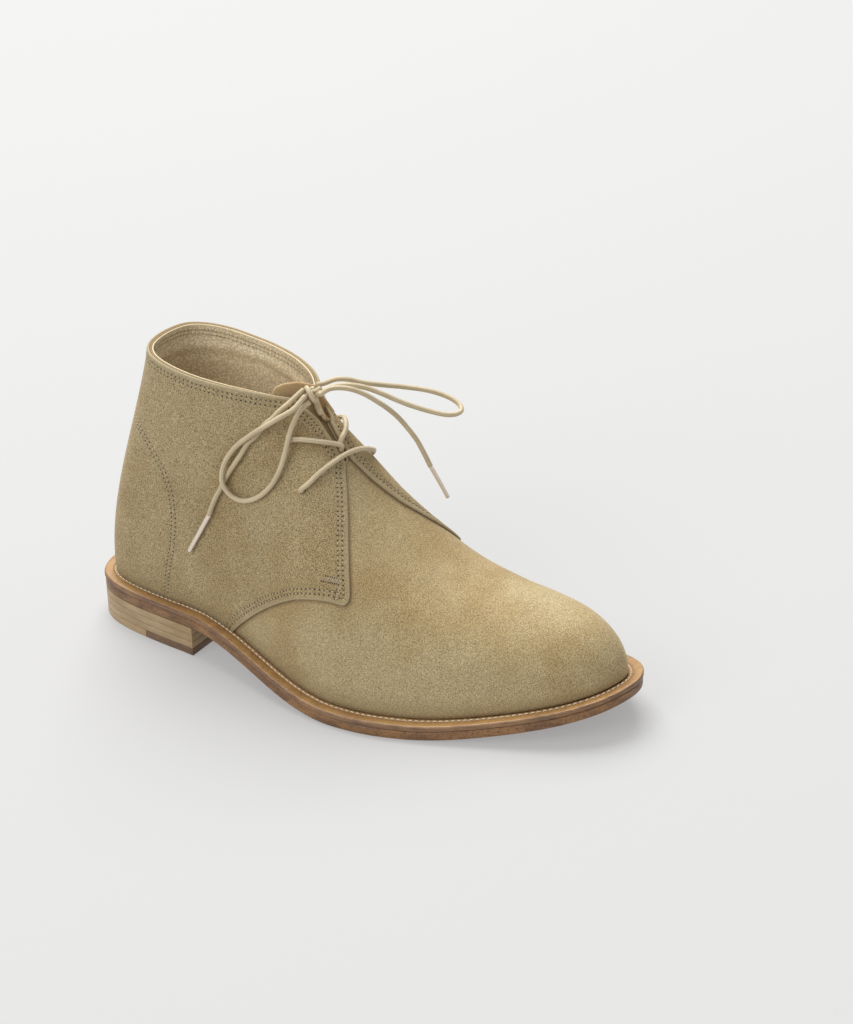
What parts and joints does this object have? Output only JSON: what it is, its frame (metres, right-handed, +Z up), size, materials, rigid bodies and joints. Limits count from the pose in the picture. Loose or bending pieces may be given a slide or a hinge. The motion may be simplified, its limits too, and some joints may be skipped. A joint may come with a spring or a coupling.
{
  "type": "chukka boot",
  "caption": "Ankle-high suede chukka boot with a leather sole, stacked heel, all-round welt and a tied round lace",
  "frame": {"origin": "on the floor, under the middle of the boot's length and width", "axes": "+X towards the toe, +Y towards the medial (inner) side, +Z up"},
  "size_m": [0.2956, 0.113, 0.1545],
  "materials": {
    "suede": "napped suede, khaki beige",
    "lining": "smooth grained lining leather",
    "welt": "waxed orange-tan welt",
    "sole_edge": "stained and burnished sole leather",
    "heel_natural": "natural stacked leather",
    "heel_brown": "brown leather top piece",
    "heel_rubber": "pale rubber",
    "lace": "round waxed cotton",
    "lace_tip": "clear film over the lace"
  },
  "bodies": {
    "root": {"outsole": "sole_edge", "welt": "welt", "heel_lift_1": "heel_natural", "heel_lift_2": "heel_natural", "heel_lift_3": "heel_natural", "heel_top_front": "heel_brown", "heel_top_rear": "heel_rubber", "insole": "lining", "upper": "suede", "tongue": "suede", "lace_bar": "lace", "lace_crossing": "lace", "lace_knot": "lace", "lace_loop_lateral": "lace", "lace_loop_medial": "lace", "lace_end_lateral": "lace", "lace_end_medial": "lace", "lace_tip_lateral": "lace_tip", "lace_tip_medial": "lace_tip"}
  },
  "joints": []
}
